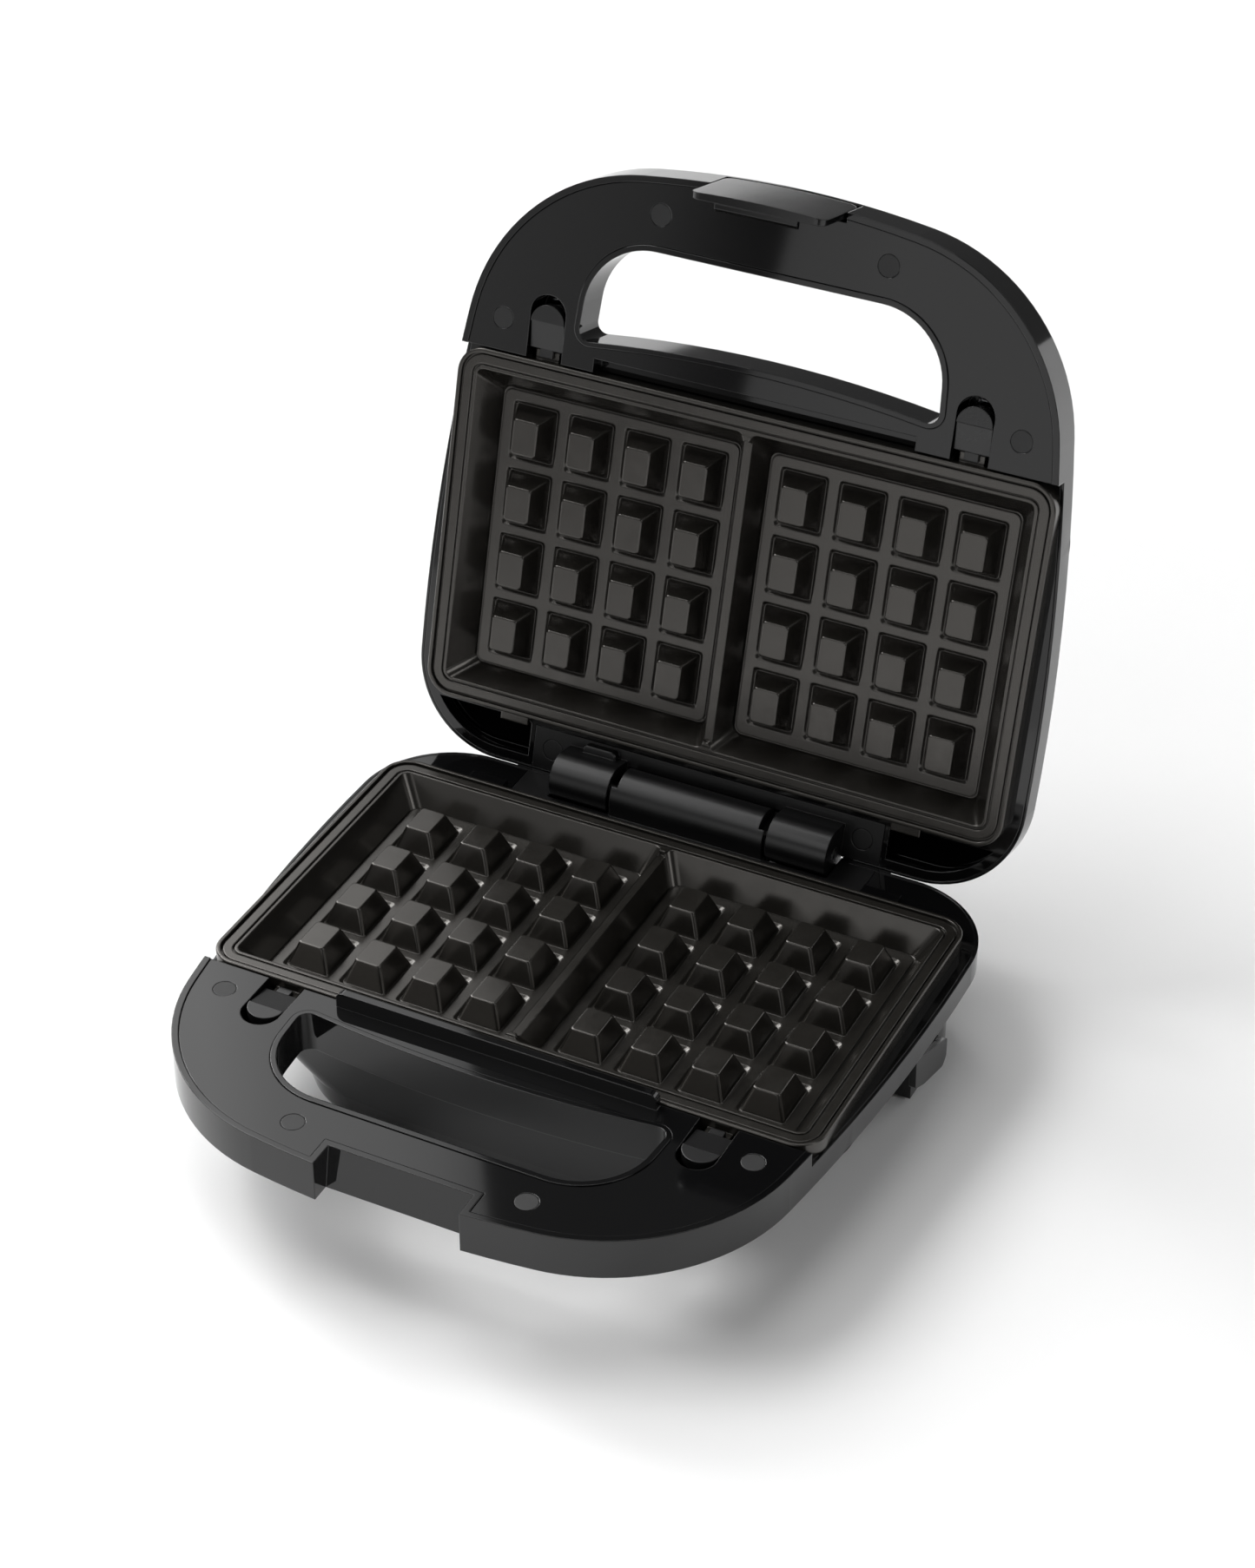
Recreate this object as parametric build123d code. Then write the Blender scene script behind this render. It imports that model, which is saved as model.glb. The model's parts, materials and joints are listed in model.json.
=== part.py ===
"""Two-slot waffle maker with removable plates, standing open.

Frame: X to the right, Y towards the hinge, Z up, in millimetres. Both halves are drawn closed
about the mating plane Z = 0, with the middle of the waffle plates at X = Y = 0; the lid is then
opened about the hinge pin. At the end everything is moved so that the origin is on the table,
under the middle of the open appliance.
"""
from build123d import *
from math import radians, sin, cos, sqrt
import os

# ---- driving dimensions ------------------------------------------------------------------
# casing outline, shared by the base and the lid
HALF_WIDTH = 118.7            # widest half width
WIDEST_Y = 35.0               # where the bowed sides are widest
SIDE_RADIUS = 770.0           # bow of the sides
FRONT_Y = -141.7              # front of the handle
FRONT_RADIUS = 370.0          # bow of the front
FRONT_CORNER_RADIUS = 70.0
REAR_Y = 86.8
REAR_CORNER_RADIUS = 35.0

# levels, as depths behind the mating plane
LIP_LEVEL = 0.25              # raised lip round the finger opening, and the handle's outer rim
FACE_LEVEL = 0.6              # handle face panel
PANEL_BACK = 3.4              # room that the face panel takes up
RIM_LEVEL = 6.0               # flat rim round the plate
BELT_DEPTH = 15.5             # bottom edge of the vertical side wall
WALL = 2.4                    # moulded wall thickness

HANDLE_END_Y = -66.6          # the handle face ends here, next to the plate
PANEL_INSET = 2.3             # the face panel lies this far inside the outline
RIM_INSET = 1.0               # the rim's seam lies this far inside the outline
SEAM = 0.15                   # clearance of an inlaid part

# hinge
HINGE_Y = 82.5
HINGE_Z = -0.9
OPEN_ANGLE = 104.8
KNUCKLE_RADIUS = 9.0
KNUCKLE_CLEARANCE = 0.8       # pocket round the other half's knuckle
PIN_RADIUS = 2.0
PIN_CLEARANCE = 0.05
MIDDLE_KNUCKLE_HALF = 29.9
OUTER_KNUCKLE_FROM = 31.3
REAR_LIP = 0.7                # ledge behind the base that closes the gap to the opened lid
OUTER_KNUCKLE_TO = 54.2
BRACKET_HALF = 69.0           # the centre cover's half width
BRACKET_FROM_Y = 69.5

# waffle plates
PLATE_HALF_X = 112.6
PLATE_HALF_Y = 65.8
PLATE_CORNER = 10.0
PLATE_CREST = 0.3             # depth of the outer crest behind the mating plane
CAVITY_EDGE = 7.4             # width of the ribbed border
FLOOR_DEPTH = 11.0            # cooking surface between the studs
STUD_TOP_DEPTH = 3.1
STUD_PITCH_X = 22.05
STUD_PITCH_Y = 24.75
STUD_BASE = (16.3, 19.7)
STUD_TOP = (9.5, 12.8)
MOAT_WIDTH = 1.0              # bevelled moat round each stud's foot
MOAT_DEPTH = 0.8
BLOCK_X = (6.2, 98.0)         # one cooking field, inner and outer side
BLOCK_Y = (-50.5, 53.0)
FIELD_CENTRE_X = 52.0
FIELD_CENTRE_Y = 1.0
DIVIDER_DEPTH = 2.2
PLATE_WALL = 2.5

# handle and latch
OPENING_HALF = 69.6           # finger opening, outside of its lip
OPENING_NEAR_Y = -76.5
OPENING_FAR_Y = -115.3
LIP_WIDTH = 2.0
NOTCH_HALF = 26.0             # latch notch in the base handle
NOTCH_TOP_Y = -131.0
NOTCH_BOTTOM_Y = -134.3
LATCH_HALF = 24.4
LATCH_PIVOT_Y = -136.8
LATCH_PIVOT_Z = 8.5
LATCH_PIN_RADIUS = 1.5

# release buttons
BUTTON_X = 79.8
SLOT_HALF = 6.85
SLOT_END_Y = -90.0
BUTTON_HALF = 6.45
BUTTON_END_Y = -86.3
BUTTON_TRAVEL = 3.4

# screws under the round caps
INNER_SCREW = (41.9, -126.2)
OUTER_SCREW = (96.9, -78.3)
BRACKET_SCREW = (61.2, 77.5)
BASE_BRACKET_SCREW = (61.2, 75.5)
PLUG_RADIUS = 3.9

# base underside and feet
FLOOR_LEVEL = -50.0           # table top below the mating plane
TUB_BOTTOM = 46.5
LID_TOP = 43.0
TUB_FRONT_RADIUS = 640.0      # bow of the tub's front
# the tubs at three depths: depth, half width, front, front corner, rear, rear corner
BASE_TUB = ((BELT_DEPTH, 115.0, -76.4, 30.0, 85.0, 30.0),
            (35.5, 84.5, -76.0, 32.0, 70.5, 18.0),
            (TUB_BOTTOM, 81.5, -75.0, 33.0, 68.0, 16.0))
LID_TUB = ((BELT_DEPTH, 115.0, -76.0, 30.0, 85.0, 30.0),
           (26.0, 106.0, -71.9, 27.0, 77.8, 27.0),
           (LID_TOP, 95.0, -64.0, 24.0, 68.0, 24.0))

ORIGIN_Y = 9.55               # middle of the open appliance, front to back

FAR = 400.0                   # longer than anything in the model


# ---- helpers -----------------------------------------------------------------------------
def block(x0, x1, y0, y1, z0, z1):
    """A box between two corners."""
    return Pos((x0 + x1) / 2, (y0 + y1) / 2, (z0 + z1) / 2) * Box(x1 - x0, y1 - y0, z1 - z0)


def slab(face, z0, z1):
    """A flat shape in the XY plane, made solid from z0 up to z1."""
    return Pos(0, 0, z0) * extrude(face, amount=z1 - z0, dir=(0, 0, 1))


def rounded(x0, x1, y0, y1, radius):
    """A rectangle with rounded corners in the XY plane."""
    return Pos((x0 + x1) / 2, (y0 + y1) / 2) * RectangleRounded(x1 - x0, y1 - y0, radius)


def rod_x(x0, x1, y, z, radius):
    """A round bar along X."""
    return Pos((x0 + x1) / 2, y, z) * Rot(0, 90, 0) * Cylinder(radius, x1 - x0)


def rod_y(y0, y1, x, z, radius):
    """A round bar along Y."""
    return Pos(x, (y0 + y1) / 2, z) * Rot(90, 0, 0) * Cylinder(radius, y1 - y0)


def rod_z(z0, z1, x, y, radius):
    """A round bar along Z."""
    return Pos(x, y, (z0 + z1) / 2) * Cylinder(radius, z1 - z0)


def both_sides(shape):
    """The shape and its mirror image across the middle."""
    return shape + mirror(shape, about=Plane.YZ)


def left_of(shape):
    return mirror(shape, about=Plane.YZ)


def frustum(low, low_z, high, high_z, radius=0.0):
    """A flat-sided solid between two rectangles (x0, x1, y0, y1), with its slanting edges rounded."""
    ring = ((0, 2), (1, 2), (1, 3), (0, 3))
    bottom = [Vector(low[i], low[j], low_z) for i, j in ring]
    top = [Vector(high[i], high[j], high_z) for i, j in ring]
    sides = [(bottom[k], bottom[(k + 1) % 4], top[(k + 1) % 4], top[k]) for k in range(4)]
    faces = [Face(Wire.make_polygon(points)) for points in [bottom, top, *sides]]
    solid = Solid(Shell(faces))
    if radius:
        solid = fillet([e for e in solid.edges() if e.bounding_box().size.Z > 0.1], radius)
    return solid


# ---- outlines (all for the base half, which lies below the mating plane) --------------------
def casing_outline():
    """D-shaped plan of the casing: bowed front and sides, square back with round corners."""
    right = Pos(HALF_WIDTH - SIDE_RADIUS, WIDEST_Y) * Circle(SIDE_RADIUS)
    left = Pos(SIDE_RADIUS - HALF_WIDTH, WIDEST_Y) * Circle(SIDE_RADIUS)
    front = Pos(0, FRONT_Y + FRONT_RADIUS) * Circle(FRONT_RADIUS)
    behind = Pos(0, REAR_Y - FAR / 2) * Rectangle(FAR, FAR)
    plan = (right & left & front & behind).face()
    corners = plan.vertices().sort_by(Axis.Y)
    plan = fillet(corners[:2], FRONT_CORNER_RADIUS)
    corners = plan.vertices().sort_by(Axis.Y)
    return fillet(corners[-2:], REAR_CORNER_RADIUS)


def inset_outline(amount):
    return offset(casing_outline(), amount=-amount, kind=Kind.INTERSECTION)


def finger_opening(inset):
    """D-shaped opening of the handle: slightly hollow towards the plate, round towards the front."""
    half = OPENING_HALF - inset
    near = OPENING_NEAR_Y + 2.2 - inset
    near_middle = OPENING_NEAR_Y - 2.6 - inset
    far = OPENING_FAR_Y + inset
    top = ThreePointArc((-half, near), (0, near_middle), (half, near))
    right = Line((half, near), (half - 2.4, far))
    bottom = Line((half - 2.4, far), (2.4 - half, far))
    left = Line((2.4 - half, far), (-half, near))
    plan = make_face(Curve() + [top, right, bottom, left])
    corners = plan.vertices().sort_by(Axis.Y)
    plan = fillet(corners[:2], 27 - inset)
    corners = plan.vertices().sort_by(Axis.Y)
    return fillet(corners[-2:], 6 - inset)


def handle_side():
    return Pos(0, HANDLE_END_Y - FAR / 2) * Rectangle(FAR, FAR)


def tub_plan(half, front_y, front_corner, rear_y, rear_corner, wall):
    """Plan of the tub at one level: bowed front, straight sides and back, rounded corners."""
    half, front_y, rear_y = half - wall, front_y + wall, rear_y - wall
    radius = TUB_FRONT_RADIUS - wall
    side_y = front_y + radius - sqrt(radius ** 2 - half ** 2)
    front = ThreePointArc((-half, side_y), (0, front_y), (half, side_y))
    right = Line((half, side_y), (half, rear_y))
    back = Line((half, rear_y), (-half, rear_y))
    left = Line((-half, rear_y), (-half, side_y))
    plan = make_face(Curve() + [front, right, back, left])
    plan = fillet(plan.vertices().sort_by(Axis.Y)[:2], front_corner - wall)
    return fillet(plan.vertices().sort_by(Axis.Y)[-2:], rear_corner - wall)


def tub_solid(levels, wall):
    """Tapered body behind the belt wall, through three plans given as (depth, plan values)."""
    depths = [BELT_DEPTH - 0.01, levels[1][0], levels[2][0] - wall]
    plans = [tub_plan(*level[1:], wall) for level in levels]
    return loft([Pos(0, 0, -depth) * plan for depth, plan in zip(depths, plans)], ruled=True)


def shell(levels):
    """One casing half: belt wall, handle tray with finger opening, and the hollow tub."""
    outline = casing_outline()
    inner = inset_outline(PANEL_INSET)
    high = slab(outline & handle_side(), -BELT_DEPTH, -LIP_LEVEL)
    low = slab(outline - handle_side(), -BELT_DEPTH, -RIM_LEVEL)
    tub = tub_solid(levels, 0)
    floor_edges = tub.edges().group_by(Axis.Z)[0]
    tub = fillet(floor_edges, 5)
    body = high + low + tub
    # hollow of the handle tray, with a ring left standing round the finger opening
    tray = (inner & handle_side()) - finger_opening(0)
    body -= slab(tray, -BELT_DEPTH + WALL, 0)
    body -= slab(finger_opening(LIP_WIDTH), -FAR, FAR)
    # hollow of the body, and the rebate that the deck's rim lies in
    body -= slab(inner - handle_side(), -BELT_DEPTH + WALL, 0)
    body -= slab(inset_outline(RIM_INSET) - handle_side(), -RIM_LEVEL - 2.2, 0)
    body -= tub_solid(levels, WALL)
    mouth = rounded(-112.2, 112.2, HANDLE_END_Y - 2.5, 82.2, 25.6)
    body -= slab(mouth & inner, -BELT_DEPTH - 0.02, 0)
    return body


def screw_posts(spots, z_top, radius=3.4):
    """Hollow posts that the handle screws bite into."""
    posts = Part()
    for x, y in spots:
        for side in (-1, 1):
            post = rod_z(-BELT_DEPTH + 1, z_top, side * x, y, radius)
            posts += post - rod_z(-BELT_DEPTH + 2.4, z_top, side * x, y, 1.45)
    return posts


def button_slot(grow=0.0):
    """Plan of a release button's slot: open towards the plate, round towards the handle."""
    half = SLOT_HALF + grow
    centre_y = SLOT_END_Y + SLOT_HALF
    plan = Pos(BUTTON_X, centre_y) * Circle(half)
    return plan + rounded_end(BUTTON_X, half, centre_y, HANDLE_END_Y + 3)


def rounded_end(x, half, y0, y1):
    return Pos(x, (y0 + y1) / 2) * Rectangle(2 * half, y1 - y0)


def deck():
    """Upper frame: flat rim round the plate, and the handle's face panel one step above it."""
    plate_hole = rounded(-107, 107, -60.2, 60.2, 6)
    rim = inset_outline(RIM_INSET + SEAM) - plate_hole
    rim -= Pos(0, HANDLE_END_Y - 2.3 - FAR / 2) * Rectangle(FAR, FAR)
    frame = slab(rim, -RIM_LEVEL - 2.2, -RIM_LEVEL)
    frame &= slab(inset_outline(PANEL_INSET + SEAM), -FAR, FAR) + slab(
        inset_outline(RIM_INSET + SEAM) - handle_side(), -FAR, FAR)
    face = (inset_outline(PANEL_INSET + SEAM) & handle_side()) - finger_opening(-SEAM)
    panel = slab(face, -FACE_LEVEL - 2.6, -FACE_LEVEL)
    riser = inset_outline(PANEL_INSET + SEAM) & rounded_end(0, FAR / 2, HANDLE_END_Y - 2.3, HANDLE_END_Y)
    frame += panel + slab(riser, -RIM_LEVEL - 2.2, -FACE_LEVEL)
    # the centre of the rear belongs to the hinge bracket
    frame -= block(-BRACKET_HALF, BRACKET_HALF, BRACKET_FROM_Y, FAR, -FAR, FAR)
    # sleeves down to the screw posts, with seats for the screw heads and caps
    for x, y in (INNER_SCREW, OUTER_SCREW):
        frame += both_sides(rod_z(-8.6, -FACE_LEVEL - 1, x, y, 5.2))
        frame -= both_sides(rod_z(-FAR, 0, x, y, 1.7))
        frame -= both_sides(rod_z(-6.2, 0, x, y, 3.3))
        frame -= both_sides(rod_z(-2.2, 0, x, y, PLUG_RADIUS + 0.06))
    # the release buttons' trays
    tray = slab(button_slot(1.4), -13.0, -FACE_LEVEL - 1)
    tray &= block(0, FAR, -FAR, HANDLE_END_Y, -FAR, FAR)
    frame += both_sides(tray)
    frame -= both_sides(slab(button_slot(), -11.6, 0))
    return frame


def waffle_plate():
    """Die-cast plate: ribbed border, two tapered cooking fields with a grid of blunt studs."""
    crest = rounded(-PLATE_HALF_X, PLATE_HALF_X, -PLATE_HALF_Y, PLATE_HALF_Y, PLATE_CORNER)
    plate = slab(crest, -RIM_LEVEL, -PLATE_CREST)
    plate = chamfer(plate.edges().group_by(Axis.Z)[-1], 0.35)
    # the border's grooves: outer lip, groove, broad rib, groove, inner lip
    plate -= slab(border_ring(1.5, CAVITY_EDGE + 1), -0.9, 0)
    plate -= slab(border_ring(1.5, 2.4), -2.0, 0)
    plate -= slab(border_ring(5.6, 6.3), -1.7, 0)
    # pan below the border
    low_x = BLOCK_X[1] + PLATE_WALL
    pan_low = (-low_x, low_x, BLOCK_Y[0] - PLATE_WALL, BLOCK_Y[1] + PLATE_WALL)
    plate += frustum(pan_low, -FLOOR_DEPTH - 3.5, (-106.5, 106.5, -59.6, 59.6), -RIM_LEVEL + 0.5, 5)
    plate -= slab(border_ring(2.0, 5.6), -FAR, -3.4)
    # the two fields
    edge_x = PLATE_HALF_X - CAVITY_EDGE
    edge_y = PLATE_HALF_Y - CAVITY_EDGE
    field_top = (1.0, edge_x, -edge_y, edge_y + 0.3)
    field_low = (BLOCK_X[0] - 0.6, BLOCK_X[1] + 0.6, BLOCK_Y[0] - 0.6, BLOCK_Y[1] + 0.6)
    field = frustum(field_low, -FLOOR_DEPTH - 0.7, field_top, -0.9, 3.5)
    field += slab(rounded(*field_top, 3.5), -0.91, 1)
    field -= slab(rounded(*BLOCK_X, *BLOCK_Y, 2.9), -FAR, -FLOOR_DEPTH)
    plate -= both_sides(field)
    # the divider is lower than the border
    plate -= slab(rounded(-1.5, 1.5, -edge_y + 2.5, edge_y - 2.5, 1.4), -DIVIDER_DEPTH, 1)
    plate = plate - both_sides(grid_of(moat())) + both_sides(grid_of(stud()))
    # lugs: two in front for the release buttons, two behind that hook under the rim
    lug = block(BUTTON_X - 4.5, BUTTON_X + 4.5, -PLATE_HALF_Y - 3.6, -PLATE_HALF_Y + 1, -5.2, -3.9)
    tab = block(71.5, 82.5, PLATE_HALF_Y - 1, PLATE_HALF_Y + 4.2, -5.4, -3.9)
    return plate + both_sides(lug + tab)


def border_ring(outer, inner):
    """A ring of the plate's border, between two distances from its outer edge."""
    big = rounded(-PLATE_HALF_X + outer, PLATE_HALF_X - outer,
                  -PLATE_HALF_Y + outer, PLATE_HALF_Y - outer, PLATE_CORNER - outer)
    small = rounded(-PLATE_HALF_X + inner, PLATE_HALF_X - inner,
                    -PLATE_HALF_Y + inner, PLATE_HALF_Y - inner, max(PLATE_CORNER - inner, 1.5))
    return big - small


def stud():
    """A blunt pyramid that presses one pocket into the waffle."""
    wide, long = STUD_BASE[0] / 2, STUD_BASE[1] / 2
    short, narrow = STUD_TOP[1] / 2, STUD_TOP[0] / 2
    body = frustum((-wide, wide, -long, long), -FLOOR_DEPTH - MOAT_DEPTH - 0.3,
                   (-narrow, narrow, -short, short), -STUD_TOP_DEPTH, 1.3)
    return fillet(body.edges().group_by(Axis.Z)[-1], 0.5)


def moat():
    """Shallow bevelled hollow that a stud stands in."""
    wide, long = STUD_BASE[0] / 2 + MOAT_WIDTH, STUD_BASE[1] / 2 + MOAT_WIDTH
    return frustum((-wide + 1, wide - 1, -long + 1, long - 1), -FLOOR_DEPTH - MOAT_DEPTH,
                   (-wide, wide, -long, long), -FLOOR_DEPTH + 0.01, 2.4)


def grid_of(shape):
    """Four by four copies of a shape, over one cooking field."""
    grid = Part()
    for column in range(4):
        for row in range(4):
            x = FIELD_CENTRE_X + (column - 1.5) * STUD_PITCH_X
            y = FIELD_CENTRE_Y + (row - 1.5) * STUD_PITCH_Y
            grid += Pos(x, y, 0) * shape
    return grid


def release_button():
    """Right-hand release button: raised half-round thumb end, sloping flat, nose over the lug."""
    centre_y = BUTTON_END_Y + BUTTON_HALF
    plan = Pos(BUTTON_X, centre_y) * Circle(BUTTON_HALF)
    thumb = slab(plan & rounded_end(BUTTON_X, 20, BUTTON_END_Y - 1, centre_y), -4.2, -FACE_LEVEL)
    flat_end_y = -70.0
    profile = Polyline((centre_y, -FACE_LEVEL - 0.5), (flat_end_y, -2.4), (flat_end_y, -4.2),
                       (centre_y, -4.2), close=True)
    side = Plane.YZ * make_face(profile)
    flat = Pos(BUTTON_X - BUTTON_HALF, 0, 0) * extrude(side, amount=2 * BUTTON_HALF, dir=(1, 0, 0))
    nose = block(BUTTON_X - 2.5, BUTTON_X + 2.5, flat_end_y - 2, -67.0, -3.6, -2.6)
    foot = block(BUTTON_X - 4, BUTTON_X + 4, -77.5, -74.5, -11.0, -4.0)
    return thumb + flat + nose + foot


def button_spring():
    """Coil spring between the button's foot and the end of its tray."""
    y0, y1 = -89.6, -77.6
    turns, wire, radius = 5, 0.35, 1.9
    pitch = (y1 - y0 - 2 * wire) / turns
    path = Helix(pitch=pitch, height=pitch * turns, radius=radius)
    section = Plane(origin=path @ 0, z_dir=path % 0) * Circle(wire)
    coil = sweep(section, path=path, is_frenet=True)
    return Pos(BUTTON_X, y1 - wire, -8.0) * Rot(90, 0, 0) * coil


def screw(x, y, top, length, head_radius=3.0, shank_radius=1.4):
    """Pan-head screw pointing down from `top`, with a cross recess."""
    body = rod_z(top - 2.2, top, x, y, head_radius) + rod_z(top - length, top - 2, x, y, shank_radius)
    cross = block(x - 1.8, x + 1.8, y - 0.4, y + 0.4, top - 1.0, top + 1)
    cross += block(x - 0.4, x + 0.4, y - 1.8, y + 1.8, top - 1.0, top + 1)
    return body - cross


def reflector():
    """Sheet-metal heat shield: an open tray below the plate."""
    sheet = 0.8
    top = (-105.8, 105.8, -61.5, 63.5)
    low = (-96, 96, -54, 58)
    top_in = (-105.8 + sheet, 105.8 - sheet, -61.5 + sheet, 63.5 - sheet)
    low_in = (-96 + sheet, 96 - sheet, -54 + sheet, 58 - sheet)
    tray = frustum(low, -24.0, top, -8.4, 6) - frustum(low_in, -24.0 + sheet, top_in, -8.39, 6 - sheet)
    for side in (-1, 1):
        tray -= rod_y(40, 80, side * 12, -18.2, 3.6)
    return tray


def heating_element():
    """Tubular heater bent into a loop under both cooking fields, with its ends at the back."""
    points = [(-12, 68), (-12, 40), (-80, 40), (-80, -35), (80, -35), (80, 40), (12, 40), (12, 68)]
    path = Pos(0, 0, -18.2) * FilletPolyline(*points, radius=12)
    section = Plane(origin=path @ 0, z_dir=path % 0) * Circle(3.2)
    tube = sweep(section, path=path)
    for side in (-1, 1):
        tube += rod_y(67.5, 74, side * 12, -18.2, 1.4)
    return tube


def thermostat(x, y):
    """Bimetal thermostat clamped under the plate, with its two terminals."""
    body = rod_z(-22.6, -14.8, x, y, 7.0) + block(x - 11, x + 11, y - 3, y + 3, -16.2, -15.0)
    return body + block(x - 5, x - 2, y - 12, y, -21.6, -20.8) + block(x + 2, x + 5, y - 12, y, -21.6, -20.8)


def wire(points, z, radius=1.0, bend=5.0):
    """An insulated wire along a level path with round bends."""
    path = Pos(0, 0, z) * FilletPolyline(*points, radius=bend)
    section = Plane(origin=path @ 0, z_dir=path % 0) * Circle(radius)
    return sweep(section, path=path)


def bore(radius):
    """The hinge pin's hole."""
    return rod_x(-FAR / 2, FAR / 2, HINGE_Y, HINGE_Z, radius)


def knuckle(x0, x1, level_z):
    """A round knuckle with a flat front that runs down (or up) to the level of its half."""
    barrel = rod_x(x0, x1, HINGE_Y, HINGE_Z, KNUCKLE_RADIUS)
    z0, z1 = sorted((HINGE_Z, level_z))
    return barrel + block(x0, x1, HINGE_Y - KNUCKLE_RADIUS, REAR_Y - 0.4, z0, z1)


def bracket_cover():
    """Centre rear cover of a half, between its two seams."""
    plan = inset_outline(RIM_INSET + SEAM) & rounded_end(0, BRACKET_HALF - SEAM, BRACKET_FROM_Y + SEAM, FAR / 2)
    return slab(plan, -RIM_LEVEL - 2.2, -RIM_LEVEL)


def up(shape):
    """Turn a piece drawn for the base half over into the lid half."""
    return mirror(shape, about=Plane.XY)


# ---- base half -----------------------------------------------------------------------------
def knuckle_pockets(x0, x1):
    return rod_x(x0, x1, HINGE_Y, HINGE_Z, KNUCKLE_RADIUS + KNUCKLE_CLEARANCE)


def base_shell():
    body = shell(BASE_TUB)
    body += screw_posts((INNER_SCREW, OUTER_SCREW), -8.6) & slab(casing_outline(), -FAR, 0)
    # latch notch in the front of the handle: its back wall leans out towards the bottom
    notch = notch_solid(NOTCH_HALF, 0)
    lining = notch_solid(NOTCH_HALF + WALL, WALL) & slab(casing_outline(), -BELT_DEPTH, -LIP_LEVEL)
    body = body + lining - notch
    # rear ledge, with room for the lid's knuckles and for the middle knuckle's foot
    body += block(-74, 74, REAR_Y - 1, REAR_Y + REAR_LIP, -11, -RIM_LEVEL)
    body -= both_sides(knuckle_pockets(OUTER_KNUCKLE_FROM - 0.4, OUTER_KNUCKLE_TO + 0.8))
    body -= block(-31, 31, 73, FAR, -11.5, 0)
    # posts for the hinge bracket's screws
    x, y = BASE_BRACKET_SCREW
    post = rod_z(-16.9, -RIM_LEVEL - 4.4, x, y, 3.2) + block(x - 1.2, x + 1.2, y, 85.5, -16.9, -10.4)
    body += both_sides(post)
    body -= both_sides(rod_z(-19, 0, x, y, 1.7))
    # mains cord bushing hole at the back, and cooling slots in the floor
    body -= rod_y(50, 90, 60, -37, 5.05)
    for i in range(7):
        body -= block(-36 + 12 * i - 1.5, -36 + 12 * i + 1.5, -18, 18, -FAR, -TUB_BOTTOM + WALL + 1)
    return body


def notch_solid(half, extra):
    """Space of the latch notch, grown by `extra` at the back."""
    profile = Polyline((NOTCH_TOP_Y + extra, 1), (NOTCH_BOTTOM_Y + extra, -BELT_DEPTH - 1),
                       (-FAR / 2, -BELT_DEPTH - 1), (-FAR / 2, 1), close=True)
    side = Plane.YZ * make_face(profile)
    return Pos(-half, 0, 0) * extrude(side, amount=2 * half, dir=(1, 0, 0))


def base_deck():
    frame = deck()
    frame -= notch_solid(NOTCH_HALF + WALL + SEAM, WALL + SEAM)
    # guard rib that stands between the plates' fronts when the lid is shut
    rib = block(-59, 59, -69.7, HANDLE_END_Y - 0.3, -RIM_LEVEL, 5.2)
    rib = fillet(rib.edges().filter_by(Axis.Y).group_by(Axis.Z)[-1], 2.5)
    # hoods over the plate's rear tabs
    hood = block(70.2, 84, PLATE_HALF_Y + 0.6, 72.5, -RIM_LEVEL, -2.4)
    hood -= block(70.9, 83.2, PLATE_HALF_Y, 71, -RIM_LEVEL + 0.01, -3.5)
    return frame + rib + both_sides(hood)


def base_hinge_bracket():
    bracket = bracket_cover()
    bracket += knuckle(-MIDDLE_KNUCKLE_HALF, MIDDLE_KNUCKLE_HALF, -RIM_LEVEL - 2.2)
    bracket -= both_sides(knuckle_pockets(OUTER_KNUCKLE_FROM - 0.4, OUTER_KNUCKLE_TO + 0.8))
    bracket += pocket_walls()
    # relief at the upper ends of the middle knuckle
    relief = block(MIDDLE_KNUCKLE_HALF - 2.2, FAR, HINGE_Y - 6.5, FAR, HINGE_Z + 4.5, FAR)
    bracket -= both_sides(relief)
    x, y = BASE_BRACKET_SCREW
    bracket += both_sides(rod_z(-10.3, -RIM_LEVEL - 2, x, y, 3.6))
    bracket -= both_sides(rod_z(-FAR, -RIM_LEVEL - 1.2, x, y, 1.45))
    return bracket - bore(PIN_RADIUS + PIN_CLEARANCE)


def pocket_walls():
    """Curved trough under each outer knuckle, so that the pocket is closed."""
    gap = KNUCKLE_RADIUS + KNUCKLE_CLEARANCE
    x0, x1 = OUTER_KNUCKLE_FROM - 0.4, OUTER_KNUCKLE_TO + 0.8
    trough = rod_x(x0 - 0.1, x1 + 1.4, HINGE_Y, HINGE_Z, gap + 1.4)
    trough -= rod_x(x0 - 1, x1, HINGE_Y, HINGE_Z, gap)
    trough &= block(0, FAR, HINGE_Y - FAR, HINGE_Y + 1.6, -FAR, -RIM_LEVEL)
    return both_sides(trough)


def base_plugs():
    caps = Part()
    for x, y in (INNER_SCREW, OUTER_SCREW):
        caps += both_sides(rod_z(-2.1, -FACE_LEVEL - 0.05, x, y, PLUG_RADIUS))
    return caps


def handle_screws():
    screws = Part()
    for x, y in (INNER_SCREW, OUTER_SCREW):
        screws += both_sides(screw(x, y, -4.0, 8.8))
    return screws


def bracket_screws():
    """Screws from below, up into the hinge bracket."""
    x, y = BASE_BRACKET_SCREW
    one = rod_z(-19.1, -17.0, x, y, 3.0) + rod_z(-17.1, -7.6, x, y, 1.4)
    return both_sides(one)


def foot_plan(inset):
    """The legs follow the rounded rear corners of the casing, a little inside its outline."""
    strip = Pos(100, (24.6 + 78.5) / 2) * Rectangle(40 - 2 * inset, 78.5 - 24.6 - 2 * inset)
    return (inset_outline(9 + inset) & strip).face()


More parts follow.
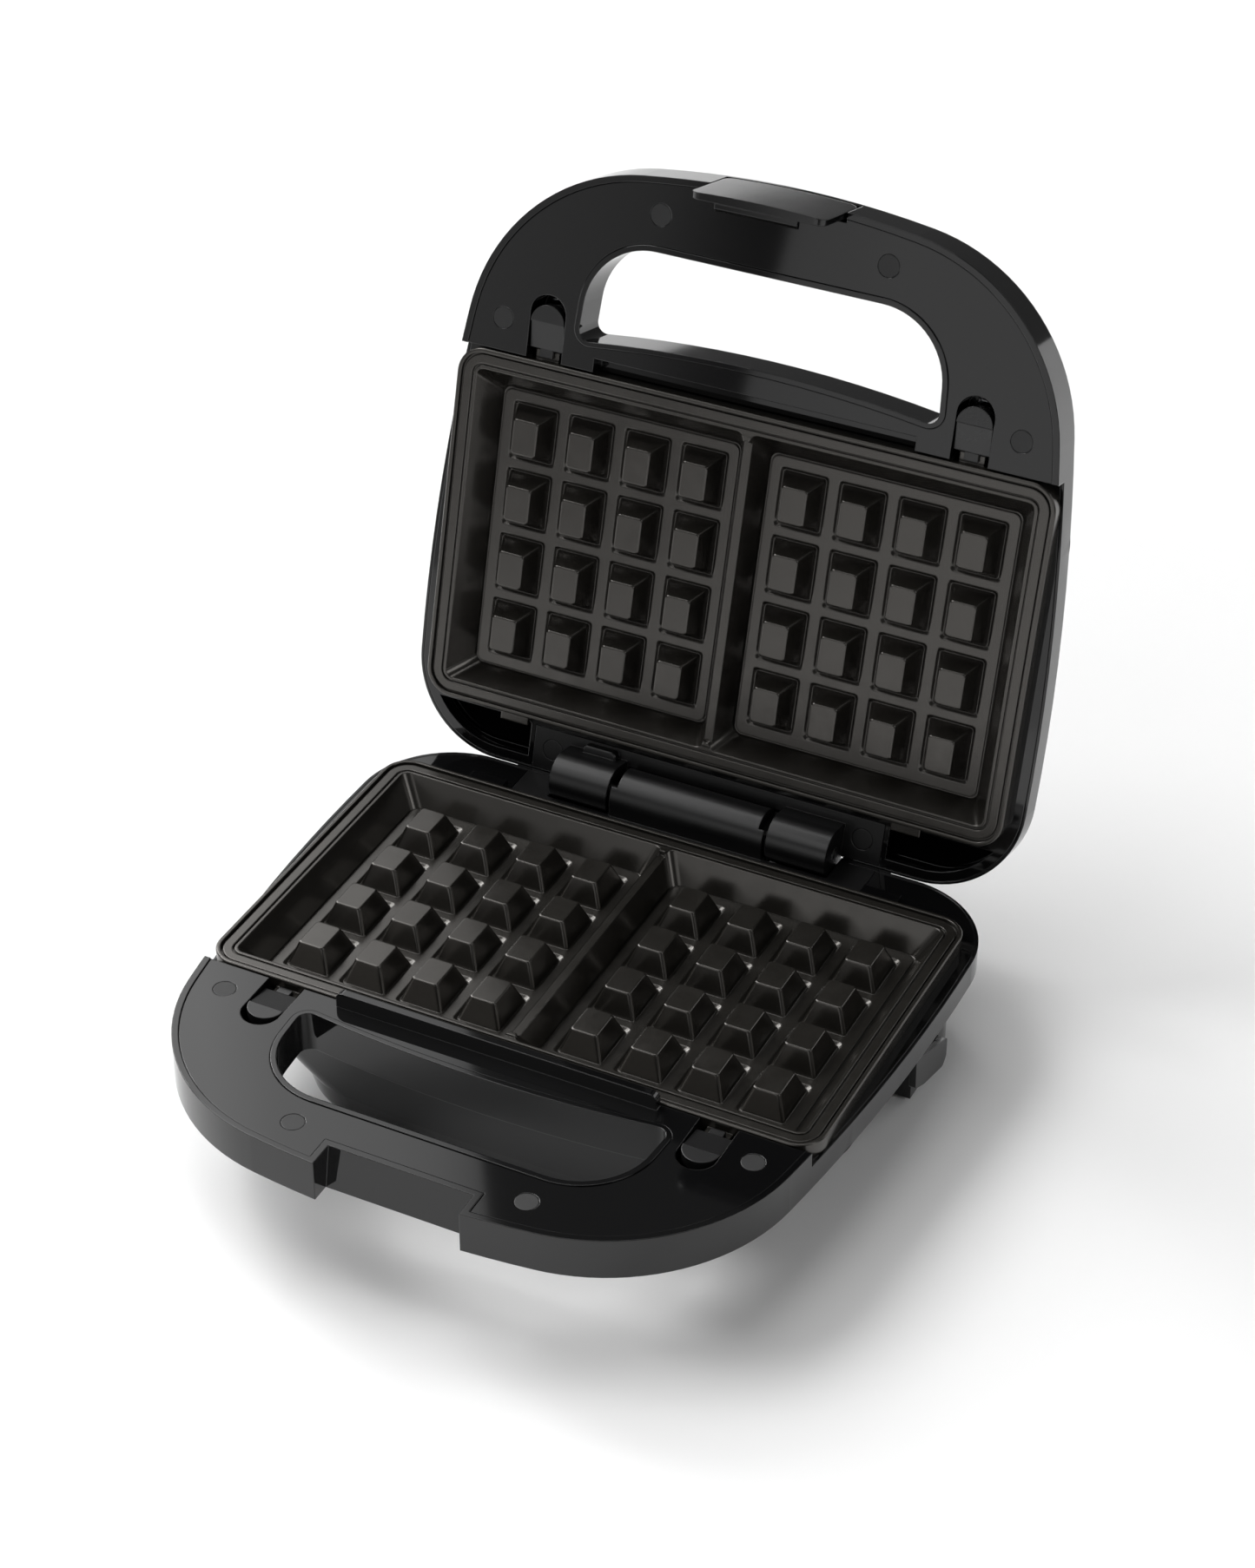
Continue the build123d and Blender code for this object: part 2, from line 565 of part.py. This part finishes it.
def rear_foot():
    """Right rear leg with its cord-wrap plate."""
    leg = slab(foot_plan(0), FLOOR_LEVEL + 1.5, -BELT_DEPTH)
    outline = Polyline((18, -25), (47, -36.5), (47, -44.5), (44, -47), (27, -42), (18.5, -38), close=True)
    side = Plane.YZ * make_face(outline)
    hook = Pos(111.2, 0, 0) * extrude(side, amount=2.4, dir=(1, 0, 0))
    hook = fillet(hook.edges().filter_by(Axis.X), 1.8)
    web = block(109, 111.4, 27, 44, -40, -34)
    foot = leg + hook + web
    foot -= tub_solid(BASE_TUB, 0)
    return foot.solids().sort_by(SortBy.VOLUME)[-1]


def foot_pads():
    plan = foot_plan(2) - rounded(-96, 96, -80, 70, 10)
    pads = both_sides(slab(plan, FLOOR_LEVEL, FLOOR_LEVEL + 1.5))
    front = rod_z(FLOOR_LEVEL, -TUB_BOTTOM, 60, -44, 7)
    return pads + both_sides(front)


def cord_bushing():
    """Flanged rubber bushing that the mains cord passes through."""
    sleeve = rod_y(64, 84, 60, -37, 5.0) + rod_y(74.6, 76.8, 60, -37, 6.8)
    sleeve += rod_y(62.8, 64.8, 60, -37, 6.0)
    return sleeve - rod_y(60, 90, 60, -37, 3.2)


def terminal_block():
    body = block(28, 58, 30, 42, -TUB_BOTTOM + WALL, -36)
    for i in range(3):
        x = 33 + 10 * i
        body -= rod_z(-39, -30, x, 36, 2.2)
        body -= rod_y(20, 50, x, -41, 1.2)
        body += rod_z(-39.2, -37, x, 36, 1.9)
    return body


def base_wiring():
    harness = wire([(33, 42.5), (33, 50), (20, 54), (20, 63)], -41, radius=0.9, bend=4)
    harness += wire([(53, 29.5), (53, 22), (70, 10), (70, -20), (40, -30)], -41, radius=0.9)
    harness += wire([(43, 42.5), (43, 54), (60, 54), (60, 62.4)], -39.5, radius=0.9, bend=4)
    return harness


# ---- lid half ------------------------------------------------------------------------------
def lid_shell():
    body = shell(LID_TUB)
    body += screw_posts((INNER_SCREW, OUTER_SCREW), -8.6) & slab(casing_outline(), -FAR, 0)
    # room for all the knuckles
    body -= rod_x(-55.2, 55.2, HINGE_Y, -HINGE_Z, KNUCKLE_RADIUS + KNUCKLE_CLEARANCE)
    # slot for the latch plate and its barrel, with ears for the pin
    slot_lining = block(-LATCH_HALF - 3, LATCH_HALF + 3, FRONT_Y - 1, -130.4, -BELT_DEPTH, -PANEL_BACK)
    body += slot_lining & slab(casing_outline(), -BELT_DEPTH, -LIP_LEVEL)
    body -= block(-LATCH_HALF - 0.6, LATCH_HALF + 0.6, -FAR, -137.3, -13.7, FAR)
    body -= block(-12.6, 12.6, -FAR, -132.6, -13.7, FAR)
    body -= rod_x(-18, 18, LATCH_PIVOT_Y, -LATCH_PIVOT_Z, LATCH_PIN_RADIUS + PIN_CLEARANCE)
    # thumb room above the ears, where the plate's top edge swings in
    body -= block(-LATCH_HALF - 0.6, LATCH_HALF + 0.6, -FAR, -135.4, -13.7, -LATCH_PIVOT_Z - 1.8)
    return body


def lid_shell_top(body):
    """Shallow panel and lens windows in the top of the lid, once it is turned over."""
    top = LID_TOP
    panel = slab(rounded(-60, 60, -34, 34, 14), top - 0.8, top + 1)
    body -= panel
    for x in (-9, 9):
        body -= slab(Pos(x, -44) * SlotOverall(12, 5.2), top - 6, top + 1)
    return body


def lid_deck():
    frame = deck()
    # slot that the base's guard rib goes into
    trough = block(-62, 62, -73.1, HANDLE_END_Y, -8.9, -FACE_LEVEL - 1)
    frame += trough
    frame -= block(-60.5, 60.5, -71.5, FAR - 460, -7.2, 1)
    # hollow pockets in the rear corners
    pocket = inset_outline(4.6) & rounded(70.8, 112, 68.4, 95, 2)
    frame -= both_sides(slab(pocket, -FAR, FAR))
    # room for the latch plate
    frame -= block(-LATCH_HALF - 0.6, LATCH_HALF + 0.6, -FAR, -137.3, -FAR, FAR)
    return frame


def lid_hinge_bracket():
    cover = up(bracket_cover())
    outer = knuckle(OUTER_KNUCKLE_FROM, OUTER_KNUCKLE_TO, RIM_LEVEL + 1.5)
    bracket = cover + both_sides(outer)
    bracket -= knuckle_pockets(-MIDDLE_KNUCKLE_HALF - 0.6, MIDDLE_KNUCKLE_HALF + 0.6)
    # open stop: a small rounded tab on the left knuckle
    tab = block(-48.2, -34.8, HINGE_Y - KNUCKLE_RADIUS - 3.0, HINGE_Y - KNUCKLE_RADIUS + 1, 2.8, RIM_LEVEL + 0.5)
    tab = fillet(tab.edges().filter_by(Axis.Z).group_by(Axis.Y)[0], 2.2)
    bracket += fillet(tab.edges().group_by(Axis.Z)[0], 0.8)
    x, y = BRACKET_SCREW
    bracket += both_sides(rod_z(RIM_LEVEL + 1, 11.0, x, y, 5.0))
    bracket -= both_sides(rod_z(0, FAR, x, y, 1.7))
    bracket -= both_sides(rod_z(0, 9.6, x, y, 3.3))
    bracket -= both_sides(rod_z(0, RIM_LEVEL + 1.5, x, y, PLUG_RADIUS + 0.06))
    return bracket - bore(PIN_RADIUS + PIN_CLEARANCE)


def lid_bracket_plugs():
    x, y = BRACKET_SCREW
    return both_sides(rod_z(RIM_LEVEL + 0.05, RIM_LEVEL + 1.45, x, y, PLUG_RADIUS))


def lid_bracket_screws():
    x, y = BRACKET_SCREW
    one = rod_z(7.6, 9.6, x, y, 3.0) + rod_z(9.4, 16.5, x, y, 1.4)
    return both_sides(one)


def latch_clip():
    """Clip plate that hangs below the lid handle, with a barrel for its pin and a hook bar."""
    plate = block(-LATCH_HALF, LATCH_HALF, FRONT_Y, FRONT_Y + 3.0, -18.6, 12.2)
    plate = fillet(plate.edges().filter_by(Axis.Y), 3.5)
    bow = slab(casing_outline(), -FAR, FAR)
    plate &= bow
    barrel = rod_x(-12, 12, LATCH_PIVOT_Y, LATCH_PIVOT_Z, 3.0)
    barrel += block(-12, 12, FRONT_Y + 2.5, LATCH_PIVOT_Y, LATCH_PIVOT_Z - 3, LATCH_PIVOT_Z + 3)
    hook = block(-15, 15, FRONT_Y + 2.5, -135.8, -18.4, -16.2)
    hook = chamfer(hook.edges().filter_by(Axis.X).group_by(Axis.Y)[-1].sort_by(Axis.Z)[0], 1.2)
    clip = plate + barrel + hook
    return clip - rod_x(-20, 20, LATCH_PIVOT_Y, LATCH_PIVOT_Z, LATCH_PIN_RADIUS + PIN_CLEARANCE)


def lens(x):
    top = LID_TOP
    body = slab(Pos(x, -44) * SlotOverall(11.7, 4.9), top - WALL - 0.6, top + 0.4)
    return body


def indicator_board():
    board = block(-22, 22, -51, -37, LID_TOP - WALL - 6.2, LID_TOP - WALL - 4.6)
    for x in (-9, 9):
        board += rod_z(LID_TOP - WALL - 4.7, LID_TOP - WALL - 1.4, x, -44, 1.5)
    return board


def lid_wiring():
    harness = wire([(0, -12), (0, -30), (10, -36)], 27.0, radius=0.9)
    harness += wire([(-5, -36), (-30, -36), (-30, 20), (-45, 40), (-45, 66)], 33.0, radius=0.9)
    return harness


# ---- assembly ------------------------------------------------------------------------------
HINGE = Axis((0, HINGE_Y, HINGE_Z), (1, 0, 0))


def opened(shape):
    """Turn a piece of the closed lid to its open position."""
    return shape.rotate(HINGE, -OPEN_ANGLE)


base_parts = {
    "base_shell": base_shell(),
    "base_deck": base_deck(),
    "base_hinge_bracket": base_hinge_bracket(),
    "hinge_pin": rod_x(-53.6, 53.6, HINGE_Y, HINGE_Z, PIN_RADIUS),
    "lower_plate": waffle_plate(),
    "lower_heating_element": heating_element(),
    "base_reflector": reflector(),
    "base_thermostat": thermostat(0, 0),
    "thermal_fuse": rod_x(24, 38, 12, -16.9, 2.2) + rod_x(16, 46, 12, -16.9, 0.6),
    "terminal_block": terminal_block(),
    "base_wiring": base_wiring(),
    "cord_inlet_bushing": cord_bushing(),
    "base_screw_plugs": base_plugs(),
    "base_handle_screws": handle_screws(),
    "base_bracket_screws": bracket_screws(),
    "rear_foot_right": rear_foot(),
    "rear_foot_left": left_of(rear_foot()),
    "foot_pads": foot_pads(),
    "base_button_right": release_button(),
    "base_button_left": left_of(release_button()),
    "base_button_spring_right": button_spring(),
    "base_button_spring_left": left_of(button_spring()),
}

lid_parts = {
    "lid_shell": lid_shell_top(up(lid_shell())),
    "lid_deck": up(lid_deck()),
    "lid_hinge_bracket": lid_hinge_bracket(),
    "upper_plate": up(waffle_plate()),
    "upper_heating_element": up(heating_element()),
    "lid_reflector": up(reflector()),
    "lid_thermostat": up(thermostat(0, 0)),
    "lid_wiring": lid_wiring(),
    "lid_screw_plugs": up(base_plugs()),
    "lid_handle_screws": up(handle_screws()),
    "lid_bracket_plugs": lid_bracket_plugs(),
    "lid_bracket_screws": lid_bracket_screws(),
    "indicator_board": indicator_board(),
    "power_lens": lens(-9),
    "ready_lens": lens(9),
    "latch_clip": latch_clip(),
    "latch_pin": rod_x(-16.8, 16.8, LATCH_PIVOT_Y, LATCH_PIVOT_Z, LATCH_PIN_RADIUS),
    "lid_button_right": up(release_button()),
    "lid_button_left": up(left_of(release_button())),
    "lid_button_spring_right": up(button_spring()),
    "lid_button_spring_left": up(left_of(button_spring())),
}

parts = dict(base_parts)
for name, shape in lid_parts.items():
    parts[name] = opened(shape)

os.makedirs("parts", exist_ok=True)
for name, shape in parts.items():
    export_step(Pos(0, -ORIGIN_Y, -FLOOR_LEVEL) * shape, f"parts/{name}.step")
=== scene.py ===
"""Studio picture of a black two-slot waffle maker standing open on a pale floor."""
import json
import math

import bpy
from mathutils import Matrix, Vector

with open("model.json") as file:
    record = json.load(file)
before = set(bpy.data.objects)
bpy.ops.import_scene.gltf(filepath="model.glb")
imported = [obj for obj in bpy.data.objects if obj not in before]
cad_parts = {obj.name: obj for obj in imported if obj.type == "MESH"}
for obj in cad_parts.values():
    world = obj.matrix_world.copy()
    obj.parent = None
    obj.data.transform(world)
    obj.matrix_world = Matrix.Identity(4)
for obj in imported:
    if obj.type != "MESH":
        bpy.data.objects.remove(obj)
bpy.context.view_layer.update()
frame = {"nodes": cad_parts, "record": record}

# ---- camera: portrait of the whole appliance, from the front right and above ------------------
CAMERA_PLACE = (0.4288, -0.8490, 0.7857)
CAMERA_AZIMUTH = math.radians(26.301)
CAMERA_ELEVATION = math.radians(35.465)
CAMERA_ROLL = math.radians(0.176)
CAMERA_LENS_MM = 100.93
SENSOR_MM = 36.0


def make_camera():
    data = bpy.data.cameras.new("camera")
    data.sensor_fit = "HORIZONTAL"
    data.sensor_width = SENSOR_MM
    data.lens = CAMERA_LENS_MM
    data.clip_start = 0.05
    data.clip_end = 20.0
    cam = bpy.data.objects.new("camera", data)
    bpy.context.scene.collection.objects.link(cam)
    a, e = CAMERA_AZIMUTH, CAMERA_ELEVATION
    back = Vector((math.sin(a) * math.cos(e), -math.cos(a) * math.cos(e), math.sin(e)))
    level = Vector((math.cos(a), math.sin(a), 0))
    up = back.cross(level)
    right = math.cos(CAMERA_ROLL) * level + math.sin(CAMERA_ROLL) * up
    top = back.cross(right)
    rotation = Matrix((right, top, back)).transposed()
    cam.matrix_world = Matrix.Translation(CAMERA_PLACE) @ rotation.to_4x4()
    bpy.context.scene.camera = cam


# ---- material helpers ------------------------------------------------------------------------
BEVEL_SAMPLES = 6
GRAIN_SCALE = 2600.0  # fineness of the spark-eroded grain on moulded plastic


class Nodes:
    """Small helper that builds one material's node tree."""

    def __init__(self, name):
        self.material = bpy.data.materials.new(name)
        self.material.use_nodes = True
        self.tree = self.material.node_tree
        self.shader = self.tree.nodes["Principled BSDF"]
        self.coords = self.tree.nodes.new("ShaderNodeTexCoord").outputs["Object"]

    def put(self, **values):
        for socket, value in values.items():
            self.shader.inputs[socket.replace("_", " ")].default_value = value

    def link(self, source, target):
        self.tree.links.new(source, target)

    def mapped(self, scale):
        node = self.tree.nodes.new("ShaderNodeMapping")
        node.inputs["Scale"].default_value = scale
        self.link(self.coords, node.inputs["Vector"])
        return node.outputs["Vector"]

    def noise(self, scale, detail=3.0, roughness=0.5, stretch=(1, 1, 1)):
        node = self.tree.nodes.new("ShaderNodeTexNoise")
        node.inputs["Scale"].default_value = scale
        node.inputs["Detail"].default_value = detail
        node.inputs["Roughness"].default_value = roughness
        self.link(self.mapped(stretch), node.inputs["Vector"])
        return node.outputs["Fac"]

    def ramp(self, fac, low, high, start=0.3, end=0.7):
        """Colours (or greys) between two values of a texture."""
        node = self.tree.nodes.new("ShaderNodeValToRGB")
        ends = node.color_ramp.elements
        ends[0].position, ends[1].position = start, end
        ends[0].color = (*low, 1) if isinstance(low, tuple) else (low, low, low, 1)
        ends[1].color = (*high, 1) if isinstance(high, tuple) else (high, high, high, 1)
        self.link(fac, node.inputs["Fac"])
        return node.outputs["Color"]

    def soft_edges(self, radius):
        """Rounds the look of every hard edge, as a mould or a die does."""
        node = self.tree.nodes.new("ShaderNodeBevel")
        node.samples = BEVEL_SAMPLES
        node.inputs["Radius"].default_value = radius
        return node.outputs["Normal"]

    def bump(self, height, strength, distance, under=None):
        node = self.tree.nodes.new("ShaderNodeBump")
        node.inputs["Strength"].default_value = strength
        node.inputs["Distance"].default_value = distance
        self.link(height, node.inputs["Height"])
        if under is not None:
            self.link(under, node.inputs["Normal"])
        return node.outputs["Normal"]


def plastic(name, dark, light, rough, grain=0.000004):
    """Moulded black plastic: faint tone changes, slightly uneven gloss, fine spark-eroded grain."""
    n = Nodes(name)
    n.put(IOR=1.5)
    n.link(n.ramp(n.noise(9.0, 4.0), dark, light), n.shader.inputs["Base Color"])
    n.link(n.ramp(n.noise(26.0, 5.0, 0.6), rough * 0.86, rough * 1.14), n.shader.inputs["Roughness"])
    slow = n.bump(n.noise(22.0, 2.0), 0.1, 0.00004, n.soft_edges(0.0005))
    n.link(n.bump(n.noise(GRAIN_SCALE, 2.0), 0.3, grain, slow), n.shader.inputs["Normal"])
    return n.material


def nonstick():
    """Dark grey-brown non-stick coating over cast aluminium, satin, with a fine speckle."""
    n = Nodes("nonstick_coating")
    n.put(Metallic=0.1, IOR=1.72, Specular_Tint=(1.0, 0.96, 0.91, 1.0))
    tone = n.ramp(n.noise(40.0, 6.0, 0.65), (0.0085, 0.0078, 0.0066), (0.0125, 0.0115, 0.0098))
    n.link(tone, n.shader.inputs["Base Color"])
    n.link(n.ramp(n.noise(120.0, 4.0, 0.6), 0.2, 0.26), n.shader.inputs["Roughness"])
    slow = n.bump(n.noise(60.0, 3.0), 0.1, 0.00005, n.soft_edges(0.0007))
    n.link(n.bump(n.noise(3200.0, 3.0, 0.7), 0.3, 0.000006, slow), n.shader.inputs["Normal"])
    return n.material


def metal(name, dark, light, rough, stretch=(1, 1, 1), scale=300.0, scratch=0.00004):
    """Plain or drawn metal with fine lines along one direction."""
    n = Nodes(name)
    n.put(Metallic=1.0)
    n.link(n.ramp(n.noise(scale, 4.0, 0.6, stretch), dark, light), n.shader.inputs["Base Color"])
    n.link(n.ramp(n.noise(scale * 0.4, 3.0, 0.5, stretch), rough * 0.8, rough * 1.3),
           n.shader.inputs["Roughness"])
    n.link(n.bump(n.noise(scale * 3, 3.0, 0.6, stretch), 0.4, scratch), n.shader.inputs["Normal"])
    return n.material


def matt(name, dark, light, rough, scale=400.0, depth=0.00005):
    """Rubber, ceramic, sleeve or board: broken tone and a soft surface texture."""
    n = Nodes(name)
    n.link(n.ramp(n.noise(scale * 0.2, 4.0, 0.6), dark, light), n.shader.inputs["Base Color"])
    n.link(n.ramp(n.noise(scale * 0.1, 3.0), rough * 0.9, min(rough * 1.1, 1.0)),
           n.shader.inputs["Roughness"])
    n.link(n.bump(n.noise(scale, 3.0, 0.6), 0.5, depth), n.shader.inputs["Normal"])
    return n.material


def lens_material(name, dark, light):
    """Tinted translucent indicator lens."""
    n = Nodes(name)
    n.put(Transmission_Weight=0.35, IOR=1.49)
    n.link(n.ramp(n.noise(60.0, 3.0), dark, light), n.shader.inputs["Base Color"])
    n.link(n.ramp(n.noise(200.0, 3.0), 0.1, 0.2), n.shader.inputs["Roughness"])
    return n.material


def make_materials():
    """One material for each slot of the record."""
    return {
        "casing_black": plastic("casing_black", (0.0022, 0.0022, 0.0024), (0.0034, 0.0034, 0.0036),
                                rough=0.055, grain=0.0000008),
        "panel_black": plastic("panel_black", (0.0024, 0.0024, 0.0026), (0.0038, 0.0038, 0.004),
                               rough=0.045, grain=0.0000006),
        "latch_black": plastic("latch_black", (0.003, 0.003, 0.0032), (0.0045, 0.0045, 0.0047),
                               rough=0.13, grain=0.000002),
        "button_black": plastic("button_black", (0.005, 0.005, 0.0052), (0.008, 0.008, 0.0083),
                                rough=0.3, grain=0.00004),
        "cap_black": plastic("cap_black", (0.006, 0.006, 0.0063), (0.009, 0.009, 0.0093),
                             rough=0.45, grain=0.00003),
        "nonstick_coating": nonstick(),
        "steel": metal("steel", (0.52, 0.52, 0.51), (0.68, 0.68, 0.66), 0.3),
        "heater_sheath": metal("heater_sheath", (0.20, 0.19, 0.17), (0.38, 0.36, 0.33), 0.5),
        "shield_aluminium": metal("shield_aluminium", (0.66, 0.66, 0.67), (0.8, 0.8, 0.8), 0.35,
                                  (0.05, 1, 1), 700.0),
        "spring_steel": metal("spring_steel", (0.45, 0.45, 0.46), (0.6, 0.6, 0.61), 0.28),
        "brass_contact": metal("brass_contact", (0.55, 0.42, 0.18), (0.72, 0.57, 0.28), 0.35),
        "rubber_black": matt("rubber_black", (0.012, 0.012, 0.012), (0.02, 0.02, 0.02), 0.75),
        "wire_insulation": matt("wire_insulation", (0.55, 0.52, 0.45), (0.72, 0.7, 0.63), 0.8, 1500.0),
        "terminal_white": matt("terminal_white", (0.68, 0.68, 0.66), (0.8, 0.8, 0.78), 0.45),
        "board_green": matt("board_green", (0.03, 0.12, 0.05), (0.05, 0.18, 0.08), 0.4),
        "lens_red": lens_material("lens_red", (0.5, 0.02, 0.015), (0.62, 0.04, 0.03)),
        "lens_green": lens_material("lens_green", (0.02, 0.3, 0.06), (0.05, 0.42, 0.1)),
    }


def dress_cad(materials):
    """Each CAD node gets its slot's material; the hinge covers get a satin finish of their own."""
    slots = {s["node"]: s["material_slot"] for s in frame["record"]["subparts"]}
    satin = plastic("satin_black", (0.003, 0.003, 0.0032), (0.0045, 0.0045, 0.0047), rough=0.34)
    for name, obj in frame["nodes"].items():
        obj.data.materials.clear()
        hinge_cover = name.endswith("hinge_bracket") or name == "lid_bracket_plugs"
        obj.data.materials.append(satin if hinge_cover else materials[slots[name]])


# ---- studio ----------------------------------------------------------------------------------
FLOOR_HALF = 6.0
WORLD_LEVEL = 0.10
LIGHT_SPREAD_DEG = 28.0
# soft studio lights: name, angle in degrees from the back (left is negative), height angle, strength
LIGHTS = (
    ("low_left", -60, 30, 2.20),
    ("left", -100, 50, 1.35),
    ("mid_left", -62, 52, 0.85),
    ("front_left", -150, 50, 0.25),
    ("low_right", 100, 30, 0.42),
    ("rear_right", 40, 30, 0.34),
    ("top", -20, 75, 0.50),
)
# reflection panels: places, slanted edges (x at the foot, x at the head) and emission strengths
REAR_PANEL_Y = 1.17
REAR_PANEL_EDGE = (-0.745, -0.655)
REAR_PANEL_GLOW = 3.0
FRONT_PANEL_Y = -0.9
FRONT_PANEL_TOP = 0.5
FRONT_SEAM = (-0.40, -0.375)
FRONT_DARK_GLOW = 1.0
FRONT_BRIGHT_GLOW = 1.05


def make_floor():
    """Pale sheet with a gentle unevenness, far larger than the picture."""
    mesh = bpy.data.meshes.new("floor")
    half = FLOOR_HALF
    mesh.from_pydata([(-half, -half, 0), (half, -half, 0), (half, half, 0), (-half, half, 0)],
                     [], [(0, 1, 2, 3)])
    floor = bpy.data.objects.new("floor", mesh)
    bpy.context.scene.collection.objects.link(floor)
    n = Nodes("floor_paint")
    n.link(n.ramp(n.noise(1.5, 3.0), 0.90, 0.92), n.shader.inputs["Base Color"])
    n.link(n.ramp(n.noise(8.0, 3.0), 0.55, 0.65), n.shader.inputs["Roughness"])
    mesh.materials.append(n.material)


def make_lights():
    """An even dim surround and the broad suns listed above."""
    world = bpy.data.worlds.new("studio")
    bpy.context.scene.world = world
    world.use_nodes = True
    background = world.node_tree.nodes["Background"]
    background.inputs["Color"].default_value = (1, 1, 1, 1)
    background.inputs["Strength"].default_value = WORLD_LEVEL
    for name, around, up, strength in LIGHTS:
        data = bpy.data.lights.new(name, "SUN")
        data.energy = strength
        data.angle = math.radians(LIGHT_SPREAD_DEG)
        light = bpy.data.objects.new(name, data)
        bpy.context.scene.collection.objects.link(light)
        a, e = math.radians(around), math.radians(up)
        toward = Vector((math.sin(a) * math.cos(e), math.cos(a) * math.cos(e), math.sin(e)))
        light.rotation_mode = "QUATERNION"
        light.rotation_quaternion = toward.to_track_quat("Z", "Y")


def glowing_panel(name, corners, stops, strength):
    """Upright panel whose glow follows stops of (x, level); it is only seen as a reflection."""
    mesh = bpy.data.meshes.new(name)
    mesh.from_pydata(corners, [], [(0, 1, 2, 3)])
    panel = bpy.data.objects.new(name, mesh)
    bpy.context.scene.collection.objects.link(panel)
    panel.visible_camera = False
    n = Nodes(name)
    n.put(Base_Color=(0.0, 0.0, 0.0, 1.0), Roughness=1.0, Specular_IOR_Level=0.0,
          Emission_Strength=strength)
    split = n.tree.nodes.new("ShaderNodeSeparateXYZ")
    n.link(n.coords, split.inputs["Vector"])
    place = n.tree.nodes.new("ShaderNodeMapRange")
    place.inputs["From Min"].default_value = stops[0][0]
    place.inputs["From Max"].default_value = stops[-1][0]
    n.link(split.outputs["X"], place.inputs["Value"])
    ramp = n.tree.nodes.new("ShaderNodeValToRGB")
    span = stops[-1][0] - stops[0][0]
    marks = ramp.color_ramp.elements
    while len(marks) < len(stops):
        marks.new(0.5)
    for mark, (x, level) in zip(marks, stops):
        mark.position = (x - stops[0][0]) / span
        mark.color = (level, level, level, 1)
    n.link(place.outputs["Result"], ramp.inputs["Fac"])
    n.link(ramp.outputs["Color"], n.shader.inputs["Emission Color"])
    mesh.materials.append(n.material)


def upright(y, low, high, left, right):
    """Corners of an upright sheet; left and right are the x of that edge at its foot and its head."""
    return [(left[0], y, low), (right[0], y, low), (right[1], y, high), (left[1], y, high)]


def make_panels():
    """Panels that the glossy plastic mirrors: one behind on the left, two in front."""
    glowing_panel("rear_panel",
                  upright(REAR_PANEL_Y, 0.85, 2.2, (-2.1, -2.1), REAR_PANEL_EDGE),
                  [(-2.1, 0.9), (-0.99, 0.77), (-0.92, 0.6), (-0.80, 0.53), (-0.75, 0.46), (-0.70, 0.3)],
                  REAR_PANEL_GLOW)
    glowing_panel("front_dark_panel",
                  upright(FRONT_PANEL_Y, 0.0, FRONT_PANEL_TOP, (-1.4, -1.4), FRONT_SEAM),
                  [(-1.4, 0.62), (-0.59, 0.58), (-0.52, 0.5), (-0.476, 0.43), (-0.43, 0.2), (-0.39, 0.09)],
                  FRONT_DARK_GLOW)
    glowing_panel("front_bright_panel",
                  upright(FRONT_PANEL_Y, 0.0, FRONT_PANEL_TOP, FRONT_SEAM, (0.35, 0.35)),
                  [(-0.40, 0.85), (-0.30, 0.98), (0.35, 1.0)],
                  FRONT_BRIGHT_GLOW)


make_camera()
dress_cad(make_materials())
make_floor()
make_panels()
make_lights()
bpy.context.scene.view_settings.view_transform = "Standard"
